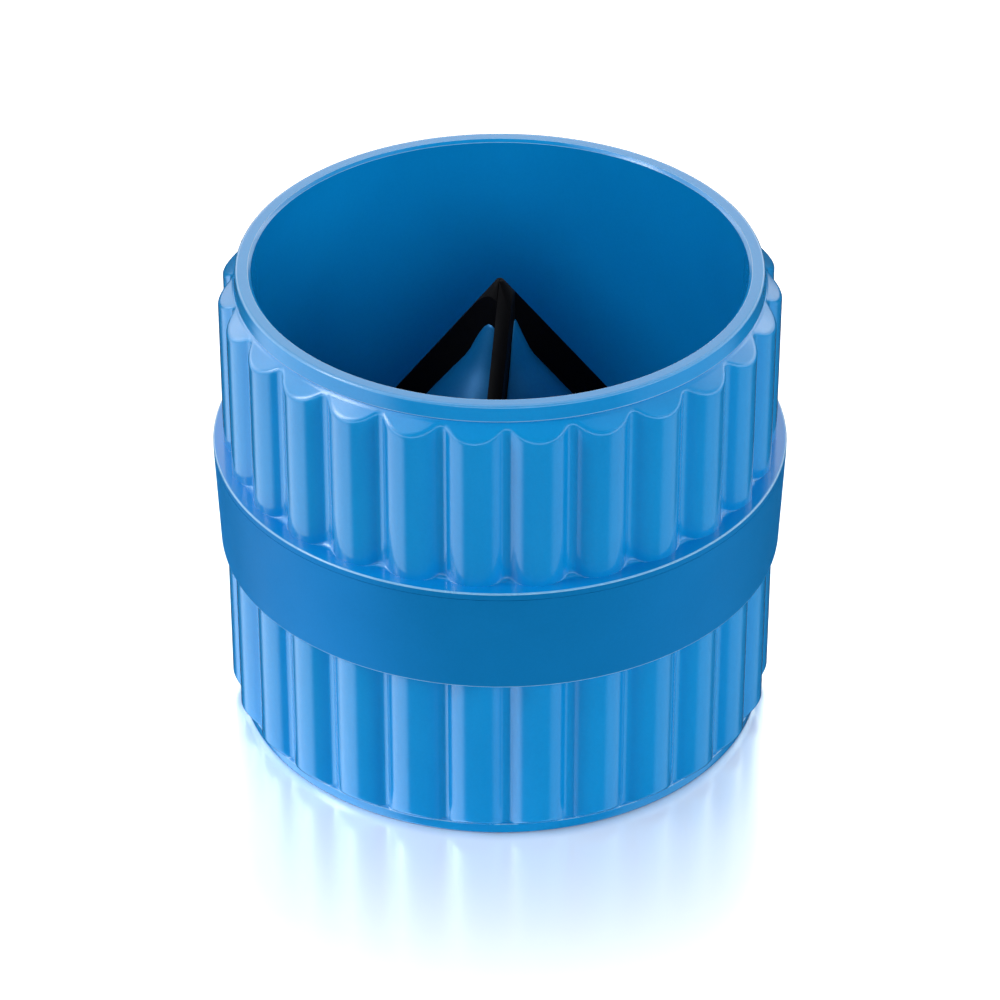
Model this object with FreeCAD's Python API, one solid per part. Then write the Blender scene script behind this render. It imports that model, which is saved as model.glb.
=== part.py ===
"""Hand deburring tool for the inside and outside edges of cut pipe ends.

A fluted plastic barrel in two halves is held in the fist and turned by hand.  Three steel blades
stand in a cone inside it.  From above, the pipe's bore goes over the cone's point and the upper
blade edges cut its inner rim.  From below, the pipe enters the cone's hollow and the lower blade
edges cut its outer rim.  Nothing on the tool moves.

Millimetres, +Z up, origin on the barrel's axis at the face it stands on.  Each piece is one solid.
"""
import FreeCAD, Part
import math
import os

from FreeCAD import Vector

# ---- Barrel, overall ---------------------------------------------------------------------------
lower_grip_height = 19.3      # fluted length below the centre band
band_height = 10.8            # height of the centre band
shoulder_thickness = 0.8      # shoulder above the band, part of the upper barrel
upper_grip_height = 19.6      # from the shoulder's top to the rim
crest_radius = 28.05          # over the tops of the flutes
barrel_wall = 2.1             # from the flute grooves to the bore

# ---- Flutes ------------------------------------------------------------------------------------
flute_count = 27
flute_depth = 1.25            # crest to groove floor
groove_curve = 0.9            # radius of the concave groove floor
flute_turn = -88.6            # direction of the first groove, degrees from +X
cove_radius = 0.7             # where the flutes run out onto the shoulder

# ---- Rim and foot ------------------------------------------------------------------------------
collar_height = 1.9           # plain ring under the rim
collar_inset = 0.3            # collar base inside the groove floors
collar_taper = 0.25           # how much the collar narrows up to the rim
crest_chamfer_slope = 0.8     # fall per unit of radius where the flutes end
foot_height = 1.2             # plain ring the tool stands on
foot_proud = 0.3              # foot ring outside the groove floors
edge_round = 0.3              # moulded edges
mouth_flare = 1.5             # widening of the lower mouth
mouth_depth = 4.2

# ---- Centre band -------------------------------------------------------------------------------
shoulder_step = 1.05          # shoulder outside the crests
shoulder_round = 0.35
band_taper = 0.45             # the band narrows downwards

# ---- Spigot joint between the barrel halves, under the band ---------------------------------------
spigot_length = 5.0
spigot_wall = 1.05
snap_bead_height = 0.28
snap_bead_width = 1.2
snap_bead_rise = 1.2          # bead's lower side above the spigot's end

# ---- Blades ------------------------------------------------------------------------------------
blade_count = 3
blade_turn = 260.0            # direction of the first blade, degrees from +X
blade_thickness = 1.4
edge_proud = 3.0              # each cutting edge outside the cone wall
apex_depth = 1.45             # where the upper edges would meet, below the rim
apex_trim = 0.5               # ground off the blades' common point
edge_wall_height = 15.8       # where the upper edges reach the bore wall
relief_angle = 14.0           # ground behind each cutting edge, degrees
blade_key = 0.5               # how far the blade tails stand into the barrel wall

# ---- Blade carrier -----------------------------------------------------------------------------
web_thickness = 2.4           # cone wall that holds the blades
hub_proud = 2.3               # steep hub that fills the corners between the blades' points
hub_reach = 3.2               # where the hub runs into the cone
skirt_wall = 1.2              # ring around the cone's foot
skirt_cover = 2.7             # skirt above the blades' tails
ledge_height = 6.0            # top of the barrel's inner ledge, which carries the skirt
ledge_width = 1.8

# ---- Blade dowels ------------------------------------------------------------------------------
dowel_radius = 0.6
dowel_length = 4.4
dowel_inset = 6.2             # from the bore wall to the dowel's axis

# ---- Fits --------------------------------------------------------------------------------------
turned_clearance = 0.05       # between round faces that fit in each other
end_clearance = 0.05          # between faces that meet end to end
slot_clearance = 0.05         # each side of a blade in its slot
dowel_clearance = 0.02

# ---- Worked out from the above -----------------------------------------------------------------
groove_floor = crest_radius - flute_depth
bore_radius = groove_floor - barrel_wall
band_bottom = lower_grip_height
band_top = band_bottom + band_height
shoulder_top = band_top + shoulder_thickness
shoulder_radius = crest_radius + shoulder_step
rim_height = shoulder_top + upper_grip_height
collar_radius = groove_floor - collar_inset
foot_radius = groove_floor + foot_proud
cove_top = shoulder_top + cove_radius + end_clearance
rim_radius = collar_radius - collar_taper

apex_height = rim_height - apex_depth
edge_slope = (apex_height - edge_wall_height) / bore_radius
slant = math.hypot(1.0, edge_slope)
web_apex = apex_height - edge_proud * slant
web_inner_apex = web_apex - web_thickness * slant
lower_edge_apex = web_inner_apex - edge_proud * slant

skirt_radius = bore_radius - turned_clearance
skirt_bore = skirt_radius - skirt_wall
skirt_bottom = ledge_height + end_clearance
skirt_top = apex_height - edge_slope * skirt_bore + skirt_cover
spigot_end = skirt_top + end_clearance
socket_floor = spigot_end - end_clearance
bead_low = spigot_end + snap_bead_rise
parting = spigot_end + spigot_length
spigot_radius = bore_radius + spigot_wall
socket_radius = spigot_radius + turned_clearance
tail_radius = bore_radius + blade_key
slot_width = blade_thickness + 2.0 * slot_clearance
lip_radius = bore_radius - ledge_width
blade_pitch = 360.0 / blade_count
dowel_station = bore_radius - dowel_inset
corner_reach = slot_width * math.tan(math.radians(blade_pitch - 90))

UP = Vector(0, 0, 1)
AXIS_FOOT = Vector(0, 0, 0)
OVERSIZE = 2.0 * shoulder_radius


def section(corners):
    """Return a closed face in the XZ plane.

    Each corner is (radius, height, rounding); a rounding of 0 leaves it sharp.
    """
    points = [Vector(radius, 0, height) for radius, height, _ in corners]
    starts, arcs, ends = [], [], []
    for i, here in enumerate(points):
        rounding = corners[i][2]
        before = (points[i - 1] - here).normalize()
        after = (points[(i + 1) % len(points)] - here).normalize()
        if rounding == 0:
            starts.append(here)
            arcs.append(None)
            ends.append(here)
            continue
        half = before.getAngle(after) / 2.0
        inward = (before + after).normalize()
        start = here + before * (rounding / math.tan(half))
        end = here + after * (rounding / math.tan(half))
        middle = here + inward * (rounding / math.sin(half) - rounding)
        starts.append(start)
        arcs.append(Part.Arc(start, middle, end).toShape())
        ends.append(end)
    edges = []
    for i in range(len(points)):
        if arcs[i]:
            edges.append(arcs[i])
        edges.append(Part.LineSegment(ends[i], starts[(i + 1) % len(points)]).toShape())
    return Part.Face(Part.Wire(edges))


def turned(corners):
    """Return the solid of revolution of a section about the barrel's axis."""
    return section(corners).revolve(AXIS_FOOT, UP, 360)


def on_circle(radius, degrees, height):
    """Return a point at a radius and direction around the axis."""
    angle = math.radians(degrees)
    return Vector(radius * math.cos(angle), radius * math.sin(angle), height)


def fluted_bar(bottom, top):
    """Return a bar whose outline is broad convex flutes joined by narrow concave grooves.

    Crest and groove are circular arcs that meet in a common tangent.
    """
    half_pitch = 180.0 / flute_count
    cosine = math.cos(math.radians(half_pitch))
    groove_centre = groove_floor + groove_curve
    gap = crest_radius**2 + groove_centre**2 - 2 * crest_radius * groove_centre * cosine
    crest_curve = (gap - groove_curve**2) / (2 * (crest_radius - groove_centre * cosine + groove_curve))
    crest_centre = crest_radius - crest_curve
    edges = []
    for i in range(flute_count):
        groove = flute_turn + 2 * half_pitch * i
        crest = groove + half_pitch
        centre = on_circle(groove_centre, groove, bottom)
        joints = []
        for side in (-1, 1):
            neighbour = on_circle(crest_centre, groove + side * half_pitch, bottom)
            joints.append(centre + (neighbour - centre).normalize() * groove_curve)
        next_centre = on_circle(groove_centre, groove + 2 * half_pitch, bottom)
        crest_point = on_circle(crest_centre, crest, bottom)
        next_joint = next_centre + (crest_point - next_centre).normalize() * groove_curve
        floor = on_circle(groove_floor, groove, bottom)
        edges.append(Part.Arc(joints[0], floor, joints[1]).toShape())
        edges.append(Part.Arc(joints[1], on_circle(crest_radius, crest, bottom), next_joint).toShape())
    return Part.Face(Part.Wire(edges)).extrude(Vector(0, 0, top - bottom))


def make_upper_barrel():
    """Rim, collar, upper flutes, shoulder and the spigot that enters the lower barrel."""
    chamfer_fall = crest_chamfer_slope * (OVERSIZE - collar_radius)
    collar_base = rim_height - collar_height
    grip_base = shoulder_top - shoulder_thickness / 2
    envelope = turned([
        (0, grip_base, 0),
        (OVERSIZE, grip_base, 0),
        (OVERSIZE, collar_base - chamfer_fall, 0),
        (collar_radius, collar_base, 0),
        (rim_radius, rim_height, edge_round),
        (0, rim_height, 0),
    ])
    grip = fluted_bar(grip_base, rim_height).common(envelope)
    joint = turned([
        (0, spigot_end, 0),
        (spigot_radius, spigot_end, 0),
        (spigot_radius, bead_low, 0),
        (spigot_radius + snap_bead_height, bead_low + snap_bead_width / 2, 0),
        (spigot_radius, bead_low + snap_bead_width, 0),
        (spigot_radius, parting + end_clearance, 0),
        (groove_floor, parting + end_clearance, 0),
        (groove_floor, band_top + end_clearance, 0),
        (shoulder_radius, band_top + end_clearance, 0),
        (shoulder_radius, shoulder_top, shoulder_round),
        (groove_floor, shoulder_top, cove_radius),
        (groove_floor, cove_top, 0),
        (0, cove_top, 0),
    ])
    bore = turned([
        (0, spigot_end - 1, 0),
        (bore_radius, spigot_end - 1, 0),
        (bore_radius, rim_height - edge_round, 0),
        (bore_radius + edge_round, rim_height, 0),
        (bore_radius + edge_round, rim_height + 1, 0),
        (0, rim_height + 1, 0),
    ])
    return grip.fuse(joint).cut(bore)


def make_lower_barrel():
    """Lower flutes and foot, the socket for the spigot, and the ledge under the blade carrier."""
    chamfer_rise = crest_chamfer_slope * (OVERSIZE - foot_radius)
    envelope = turned([
        (0, 0, 0),
        (foot_radius, 0, edge_round),
        (foot_radius, foot_height, 0),
        (OVERSIZE, foot_height + chamfer_rise, 0),
        (OVERSIZE, band_bottom + chamfer_rise, 0),
        (0, band_bottom + chamfer_rise, 0),
    ])
    foot = Part.makeCylinder(foot_radius, foot_height)
    grip = fluted_bar(0, band_bottom).fuse(foot).common(envelope)
    band_seat = Part.makeCylinder(groove_floor, parting - foot_height, Vector(0, 0, foot_height))
    groove_radius = socket_radius + snap_bead_height
    hollow = turned([
        (0, -1, 0),
        (lip_radius + mouth_flare, -1, 0),
        (lip_radius + mouth_flare, 0, 0),
        (lip_radius, mouth_depth, 0),
        (lip_radius, ledge_height, 0),
        (bore_radius, ledge_height, 0),
        (bore_radius, socket_floor, 0),
        (socket_radius, socket_floor, 0),
        (socket_radius, bead_low, 0),
        (groove_radius, bead_low + snap_bead_width / 2, 0),
        (socket_radius, bead_low + snap_bead_width, 0),
        (socket_radius, parting + 1, 0),
        (0, parting + 1, 0),
    ])
    barrel = grip.fuse(band_seat).cut(hollow)
    for i in range(blade_count):
        keyway = blade_slot(0, tail_radius + turned_clearance, ledge_height, socket_floor + 1)
        barrel = barrel.cut(turned_to_blade(keyway, i))
    return barrel


def make_centre_band():
    """Smooth ring trapped between the shoulder and the tops of the lower flutes."""
    inner = groove_floor + turned_clearance
    low = band_bottom + end_clearance
    return turned([
        (inner, low, 0),
        (shoulder_radius - band_taper, low, edge_round),
        (shoulder_radius, band_top, 0),
        (inner, band_top, 0),
    ])


def turned_to_blade(shape, number):
    """Return a shape, drawn along +X, turned to the given blade's direction."""
    placed = shape.copy()
    placed.rotate(AXIS_FOOT, UP, blade_turn + blade_pitch * number)
    return placed


def blade_slot(start, end, low, high):
    """Return an upright slab around a blade's plane, between two distances from the axis."""
    corner = Vector(start, -slot_clearance, low)
    return Part.makeBox(end - start, slot_width, high - low, corner)


def relief_wedge(apex, side):
    """Return the wedge ground away behind one cutting edge.

    apex is the height where that edge's line meets the axis; side is +1 for the upper edge and -1
    for the lower.  The blade's cutting face is y = 0, and the edge falls away towards its back.
    """
    along = Vector(1, 0, -edge_slope).normalize()
    outward = Vector(edge_slope, 0, 1).normalize() * side
    back = Vector(0, blade_thickness, 0)
    start = Vector(0, 0, apex) - along * OVERSIZE
    fall = blade_thickness * math.tan(math.radians(relief_angle))
    corners = [
        start,
        start + back - outward * fall,
        start + back * 2 - outward * fall * 2,
        start + back * 2 + outward * blade_thickness,
        start + outward * blade_thickness,
        start,
    ]
    face = Part.Face(Part.makePolygon(corners))
    return face.extrude(along * (3.0 * OVERSIZE))


def blade_side():
    """Return the blade's side outline, a strip down the cone from its point to the barrel wall."""
    start = -blade_thickness
    end = tail_radius
    top = apex_height - apex_trim
    outline = [
        Vector(start, 0, lower_edge_apex - edge_slope * start),
        Vector(start, 0, top),
        Vector(apex_trim / edge_slope, 0, top),
        Vector(end, 0, apex_height - edge_slope * end),
        Vector(end, 0, lower_edge_apex - edge_slope * end),
    ]
    return Part.Face(Part.makePolygon(outline + [outline[0]]))


def dowel_bar(radius, start, end):
    """Return a round bar across the blade's plane, through the middle of the cone wall."""
    height = web_apex - web_thickness * slant / 2 - edge_slope * dowel_station
    across = Vector(0, 1, 0)
    return Part.makeCylinder(radius, end - start, Vector(dowel_station, start, height), across)


def dowel_span():
    """Return where a dowel starts and ends across the blade, centred on its thickness."""
    middle = blade_thickness / 2
    return middle - dowel_length / 2, middle + dowel_length / 2


def make_blade(number):
    """Flat steel plate with an upper and a lower cutting edge, bevelled where the blades meet.

    The cone that the upper edges sweep also trims the blade's point.
    """
    below_corner = Vector(0, -OVERSIZE / 2, skirt_bottom - OVERSIZE)
    below_ledge = Part.makeBox(OVERSIZE, OVERSIZE, OVERSIZE, below_corner)
    beyond_corner = Vector(-OVERSIZE, -end_clearance, -OVERSIZE)
    beyond_bevel = Part.makeBox(2 * OVERSIZE, OVERSIZE, 3 * OVERSIZE, beyond_corner)
    beyond_bevel.rotate(AXIS_FOOT, UP, blade_pitch)
    start, end = dowel_span()
    tools = [
        below_ledge,
        beyond_bevel,
        relief_wedge(apex_height, 1),
        relief_wedge(lower_edge_apex, -1),
        dowel_bar(dowel_radius + dowel_clearance, start, end),
    ]
    cone_height = OVERSIZE * edge_slope
    swept = Part.makeCone(OVERSIZE, 0, cone_height, Vector(0, 0, apex_height - cone_height))
    plate = blade_side().extrude(Vector(0, blade_thickness, 0)).common(swept)
    return turned_to_blade(plate.cut(tools), number)


def make_dowel(number):
    """Steel dowel that locks a blade into the cone wall."""
    start, end = dowel_span()
    return turned_to_blade(dowel_bar(dowel_radius, start, end), number)


def make_blade_carrier():
    """Cone with a skirt round its foot, slotted for the blades and drilled for their dowels."""
    carrier = turned([
        (0, web_apex + hub_proud * slant, 0),
        (hub_reach, web_apex - edge_slope * hub_reach, 0),
        (skirt_bore, web_apex - edge_slope * skirt_bore, 0),
        (skirt_bore, skirt_top, edge_round),
        (skirt_radius, skirt_top, 0),
        (skirt_radius, skirt_bottom, 0),
        (skirt_bore, skirt_bottom, 0),
        (skirt_bore, web_inner_apex - edge_slope * skirt_bore, 0),
        (0, web_inner_apex, 0),
    ])
    slot_top = apex_height - edge_slope * skirt_bore + slot_clearance
    start, end = dowel_span()
    for i in range(blade_count):
        cone_slot = blade_slot(-corner_reach, skirt_bore, skirt_bottom - 1, rim_height)
        skirt_slot = blade_slot(skirt_bore - 1, OVERSIZE, skirt_bottom - 1, slot_top)
        drilling = dowel_bar(dowel_radius + dowel_clearance, start - end_clearance, dowel_station)
        for tool in (cone_slot, skirt_slot, drilling):
            carrier = carrier.cut(turned_to_blade(tool, i))
    return carrier


def write(name, shape):
    """Check that a piece is one valid solid and write its STEP file."""
    solid = shape.removeSplitter()
    if len(solid.Solids) != 1 or not solid.isValid():
        raise ValueError(f"{name} is not one valid solid: {len(solid.Solids)}")
    solid.Solids[0].exportStep(f"parts/{name}.step")
    print(name, round(solid.Volume, 1), "mm3")


def main():
    """Build every piece and write it."""
    os.makedirs("parts", exist_ok=True)
    write("upper_barrel", make_upper_barrel())
    write("lower_barrel", make_lower_barrel())
    write("centre_band", make_centre_band())
    write("blade_carrier", make_blade_carrier())
    for i in range(blade_count):
        write(f"blade_{i + 1}", make_blade(i))
        write(f"blade_dowel_{i + 1}", make_dowel(i))


main()
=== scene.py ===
"""Looks of a hand deburring tool for pipe ends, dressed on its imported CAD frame.

The barrel halves, the centre band and the blade carrier are rebuilt here as dense, softly rounded
meshes of the same sizes.  The blades and their dowels are the frame's own pieces with eased edges.
Sizes are in millimetres and angles in degrees unless a name says otherwise; +Z is up the barrel.
"""
import functools
import logging
import math
from dataclasses import dataclass, field
from enum import Enum
from typing import Sequence

import bmesh
import bpy
import numpy as np
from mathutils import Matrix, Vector


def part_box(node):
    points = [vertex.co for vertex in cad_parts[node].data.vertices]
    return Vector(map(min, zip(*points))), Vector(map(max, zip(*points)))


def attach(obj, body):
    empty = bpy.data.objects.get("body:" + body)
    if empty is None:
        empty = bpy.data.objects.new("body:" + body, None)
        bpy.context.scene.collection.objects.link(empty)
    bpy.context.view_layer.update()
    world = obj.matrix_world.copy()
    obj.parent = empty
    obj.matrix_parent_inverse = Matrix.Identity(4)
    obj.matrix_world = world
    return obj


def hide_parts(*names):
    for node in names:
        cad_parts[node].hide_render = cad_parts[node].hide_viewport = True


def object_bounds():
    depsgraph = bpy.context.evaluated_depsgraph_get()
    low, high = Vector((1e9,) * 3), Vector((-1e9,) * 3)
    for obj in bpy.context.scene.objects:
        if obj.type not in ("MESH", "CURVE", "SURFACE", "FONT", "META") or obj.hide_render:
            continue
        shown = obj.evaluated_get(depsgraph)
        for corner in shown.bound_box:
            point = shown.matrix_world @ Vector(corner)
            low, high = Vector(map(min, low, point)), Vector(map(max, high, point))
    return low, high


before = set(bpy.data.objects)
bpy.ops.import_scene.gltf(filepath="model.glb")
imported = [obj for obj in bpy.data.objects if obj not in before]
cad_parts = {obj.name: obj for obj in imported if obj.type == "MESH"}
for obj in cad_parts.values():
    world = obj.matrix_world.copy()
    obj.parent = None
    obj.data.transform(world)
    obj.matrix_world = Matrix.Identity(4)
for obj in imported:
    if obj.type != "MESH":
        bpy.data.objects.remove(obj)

MM: float = 0.001
ROOT_BODY: str = "root"
EDGE_LAYER: str = "edge_sharpness"
EDGE_SHARPNESS_LIMIT: float = 8.0
WHITE: tuple[float, float, float, float] = (1.0, 1.0, 1.0, 1.0)
CAD_BOX: tuple[Vector, Vector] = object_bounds()

Colour = tuple[float, float, float]
Corner = tuple[float, float, float]
Faces = list[tuple[int, ...]]
Node = bpy.types.Node
Socket = bpy.types.NodeSocket
Links = dict[str | int, object]

log = logging.getLogger("deburring_tool")


class Slot(Enum):
    """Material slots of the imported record."""

    BARREL = "barrel_plastic"
    BAND = "band_plastic"
    CARRIER = "carrier_plastic"
    BLADE = "blade_steel"
    DOWEL = "dowel_steel"


# ---- Node trees --------------------------------------------------------------------------------


class Tree:
    """Short calls for laying out a node tree."""

    def __init__(self, tree: bpy.types.NodeTree) -> None:
        """Work on a node tree, starting it empty.

        Args:
            tree: the tree of a material, a world or a node group.
        """
        self.tree = tree
        tree.nodes.clear()

    def add(self, kind: str, links: Links | None = None, **settings: object) -> Node:
        """Add a node, set its options and fill or link its inputs.

        Args:
            kind: the node's Blender type name.
            links: input name or number to a value, or to an output socket to link.
            settings: the node's own properties.

        Returns:
            The new node.
        """
        node = self.tree.nodes.new(kind)
        for name, value in settings.items():
            setattr(node, name, value)
        for name, value in (links or {}).items():
            if isinstance(value, Socket):
                self.tree.links.new(value, node.inputs[name])
            else:
                node.inputs[name].default_value = value
        return node

    def math(self, operation: str, first: object, second: object = 0.0) -> Socket:
        """Return the result of a Math node on two values or sockets."""
        return self.add("ShaderNodeMath", {0: first, 1: second}, operation=operation).outputs[0]

    def vector(self, operation: str, first: object, second: object) -> Socket:
        """Return the result of a Vector Math node on two values or sockets."""
        node = self.add("ShaderNodeVectorMath", {0: first, 1: second}, operation=operation)
        return node.outputs["Value" if operation == "DOT_PRODUCT" else "Vector"]

    def total(self, *parts: object) -> Socket:
        """Return the sum of several values or sockets."""
        return functools.reduce(lambda first, second: self.math("ADD", first, second), parts)

    def position(self) -> Socket:
        """Return the shaded point's place on the tool, in metres."""
        return self.add("ShaderNodeTexCoord").outputs["Object"]

    def noise(self, place: Socket, size: object, detail: float) -> Socket:
        """Return a noise whose features have a size in millimetres.

        Args:
            place: the point to look it up at.
            size: the features' size.
            detail: how many finer layers it has.

        Returns:
            The noise's socket.
        """
        scale = self.math("DIVIDE", 1.0 / MM, size)
        links = {"Vector": place, "Scale": scale, "Detail": detail}
        return self.add("ShaderNodeTexNoise", links).outputs[0]

    def ramp(
        self, value: object, low: object, high: object, start: float = 0.0, end: float = 1.0
    ) -> Socket:
        """Map a value smoothly from low..high to start..end.

        Args:
            value: the value or socket to map.
            low: value or socket that gives start.
            high: value or socket that gives end.
            start: output at low and beyond.
            end: output at high and beyond.

        Returns:
            The mapped value's socket.
        """
        links = {"Value": value, "From Min": low, "From Max": high, "To Min": start, "To Max": end}
        node = self.add("ShaderNodeMapRange", links, interpolation_type="SMOOTHSTEP")
        return node.outputs["Result"]

    def mix(self, factor: object, first: object, second: object) -> Socket:
        """Blend two colours.

        Args:
            factor: share of the second colour.
            first: a colour or socket.
            second: a colour or socket.

        Returns:
            The blended colour's socket.
        """
        node = self.add("ShaderNodeMix", data_type="RGBA")
        factor_in, first_in, second_in = node.inputs[0], node.inputs[6], node.inputs[7]
        for socket, value in ((factor_in, factor), (first_in, first), (second_in, second)):
            if isinstance(value, Socket):
                self.tree.links.new(value, socket)
            else:
                socket.default_value = value
        return node.outputs[2]


    def bump(self, height: Socket, depth: float) -> Socket:
        """Return the normal of a surface with a height of 0 to 1 times a depth in millimetres."""
        links = {"Strength": 1.0, "Distance": depth * MM, "Height": height}
        return self.add("ShaderNodeBump", links).outputs[0]

    def mix_shader(self, factor: object, first: Socket, second: Socket) -> Socket:
        """Return a shader blended from first to second by factor."""
        return self.add("ShaderNodeMixShader", {0: factor, 1: first, 2: second}).outputs[0]

    def background(self, colour: object, strength: float) -> Socket:
        """Return a background shader of a colour or socket, at a strength."""
        return self.add("ShaderNodeBackground", {"Color": colour, "Strength": strength}).outputs[0]


@dataclass(frozen=True)
class Port:
    """One named input or output of an effect."""

    name: str
    kind: str = "NodeSocketFloat"
    default: float | None = None


class Effect:
    """A shader effect that several finishes share, kept as one node group."""

    name: str = "effect"
    inputs: tuple[Port, ...] = ()
    outputs: tuple[Port, ...] = ()

    def group(self) -> bpy.types.NodeTree:
        """Get the effect as a node group.

        Returns:
            The group, built the first time it is asked for.
        """
        found = bpy.data.node_groups.get(self.name)
        if found:
            return found
        made = bpy.data.node_groups.new(self.name, "ShaderNodeTree")
        for ports, direction in ((self.inputs, "INPUT"), (self.outputs, "OUTPUT")):
            for port in ports:
                kind = port.kind
                socket = made.interface.new_socket(port.name, in_out=direction, socket_type=kind)
                if port.default is not None:
                    socket.default_value = port.default
        tree = Tree(made)
        entry = tree.add("NodeGroupInput")
        leave = tree.add("NodeGroupOutput")
        for name, socket in self.lay_out(tree, entry).items():
            made.links.new(socket, leave.inputs[name])
        return made

    def lay_out(self, tree: Tree, entry: Node) -> dict[str, Socket]:
        """Lay out the effect's nodes.

        Args:
            tree: the group's tree.
            entry: its input node.

        Returns:
            Output name to the socket that feeds it.
        """
        raise NotImplementedError

    def place(self, tree: Tree, **values: object) -> Node:
        """Place the effect in a material.

        Args:
            tree: the material's tree.
            values: input names, with underscores for spaces, to values or sockets.

        Returns:
            The group node.
        """
        links = {name.replace("_", " "): value for name, value in values.items()}
        return tree.add("ShaderNodeGroup", links, node_tree=self.group())


class MouldGrain(Effect):
    """Fine skin of moulded plastic: a spark-eroded grain over a slow flow ripple."""

    name = "Mould grain"
    inputs = (
        Port("Grain size", default=0.12),
        Port("Ripple size", default=4.0),
        Port("Ripple share", default=0.3),
    )
    outputs = (Port("Height"),)

    def lay_out(self, tree: Tree, entry: Node) -> dict[str, Socket]:
        """Lay out the grain and the ripple.

        Args:
            tree: the group's tree.
            entry: its input node.

        Returns:
            The height's socket.
        """
        place = tree.position()
        grain = tree.noise(place, entry.outputs["Grain size"], 2.0)
        ripple = tree.noise(place, entry.outputs["Ripple size"], 1.0)
        slow = tree.math("MULTIPLY", ripple, entry.outputs["Ripple share"])
        return {"Height": tree.math("ADD", grain, slow)}


class ColourDrift(Effect):
    """Pigment that is not quite even: slow clouds and a finer speckle."""

    name = "Colour drift"
    inputs = (
        Port("Cloud size", default=12.0),
        Port("Speckle size", default=0.35),
        Port("Speckle share", default=0.3),
    )
    outputs = (Port("Drift"),)

    def lay_out(self, tree: Tree, entry: Node) -> dict[str, Socket]:
        """Lay out the clouds and the speckle.

        Args:
            tree: the group's tree.
            entry: its input node.

        Returns:
            The drift's socket, from 0 to 1.
        """
        place = tree.position()
        even = tree.ramp(tree.noise(place, entry.outputs["Cloud size"], 3.0), 0.3, 0.7)
        fine = tree.ramp(tree.noise(place, entry.outputs["Speckle size"], 2.0), 0.35, 0.65)
        share = entry.outputs["Speckle share"]
        rest = tree.math("SUBTRACT", 1.0, share)
        slow, fast = tree.math("MULTIPLY", even, rest), tree.math("MULTIPLY", fine, share)
        return {"Drift": tree.math("ADD", slow, fast)}


class EdgeWearAndHighlight(Effect):
    """Mask that is 1 on outer edges and fades into the faces, broken up along its length; it places
    rubbed wear on steel and a painted highlight with wear on plastic.
    """

    name = "Edge wear and highlight"
    inputs = (
        Port("Edge"),
        Port("Start", default=0.52),
        Port("Full", default=0.6),
        Port("Break up", default=0.4),
    )
    outputs = (Port("Wear"),)
    patch_size: float = 1.0 / 0.7

    def lay_out(self, tree: Tree, entry: Node) -> dict[str, Socket]:
        """Lay out the edge mask.

        Args:
            tree: the group's tree.
            entry: its input node.

        Returns:
            The wear mask's socket, from 0 to 1.
        """
        patches = tree.noise(tree.position(), self.patch_size, 3.0)
        mask = tree.ramp(entry.outputs["Edge"], entry.outputs["Start"], entry.outputs["Full"])
        gaps = tree.math("MULTIPLY", patches, entry.outputs["Break up"])
        keep = tree.math("SUBTRACT", 1.0, gaps)
        return {"Wear": tree.math("MULTIPLY", mask, keep)}


class HandlingScuffs(Effect):
    """Hair scratches and dull patches from the hand and the bench."""

    name = "Handling scuffs"
    inputs = (Port("Scratch size", default=0.6), Port("Patch size", default=7.0))
    outputs = (Port("Scratches"), Port("Patches"))

    def lay_out(self, tree: Tree, entry: Node) -> dict[str, Socket]:
        """Lay out the scratches and the patches.

        Args:
            tree: the group's tree.
            entry: its input node.

        Returns:
            The sockets of the two masks, each from 0 to 1.
        """
        place = tree.position()
        links = {"Vector": place, "Rotation": (0.5, 0.3, 0.8), "Scale": (1.0, 0.04, 1.0)}
        stretched = tree.add("ShaderNodeMapping", links).outputs[0]
        lines = tree.noise(stretched, entry.outputs["Scratch size"], 2.0)
        patches = tree.noise(place, entry.outputs["Patch size"], 4.0)
        return {
            "Scratches": tree.ramp(lines, 0.66, 0.74),
            "Patches": tree.ramp(patches, 0.42, 0.68),
        }


class GroundLines(Effect):
    """Parallel lines that a grinding wheel or a drawing die leaves along one direction."""

    name = "Ground lines"
    inputs = (Port("Line width", default=0.06), Port("Stretch", default=0.03))
    outputs = (Port("Lines"),)

    def lay_out(self, tree: Tree, entry: Node) -> dict[str, Socket]:
        """Lay out the lines.

        Args:
            tree: the group's tree.
            entry: its input node.

        Returns:
            The lines' socket, from 0 to 1.
        """
        links = {"X": 1.0, "Y": 1.0, "Z": entry.outputs["Stretch"]}
        stretch = tree.add("ShaderNodeCombineXYZ", links).outputs[0]
        squeezed = tree.vector("MULTIPLY", tree.position(), stretch)
        return {"Lines": tree.noise(squeezed, entry.outputs["Line width"], 3.0)}


# ---- Finishes ----------------------------------------------------------------------------------


@dataclass(frozen=True)
class Finish:
    """A surface finish, made as one Blender material; deep is its main colour."""

    name: str
    deep: Colour

    def surface(self, tree: Tree) -> Node:
        """Lay out the finish in a material's tree and return its shader node."""
        raise NotImplementedError

    def material(self) -> bpy.types.Material:
        """Get the finish as a Blender material.

        Returns:
            The material, built the first time it is asked for.
        """
        found = bpy.data.materials.get(self.name)
        if found:
            return found
        made = bpy.data.materials.new(self.name)
        made.use_nodes = True
        tree = Tree(made.node_tree)
        tree.add("ShaderNodeOutputMaterial", {"Surface": self.surface(tree).outputs[0]})
        made.diffuse_color = (*self.deep, 1.0)
        return made


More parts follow.
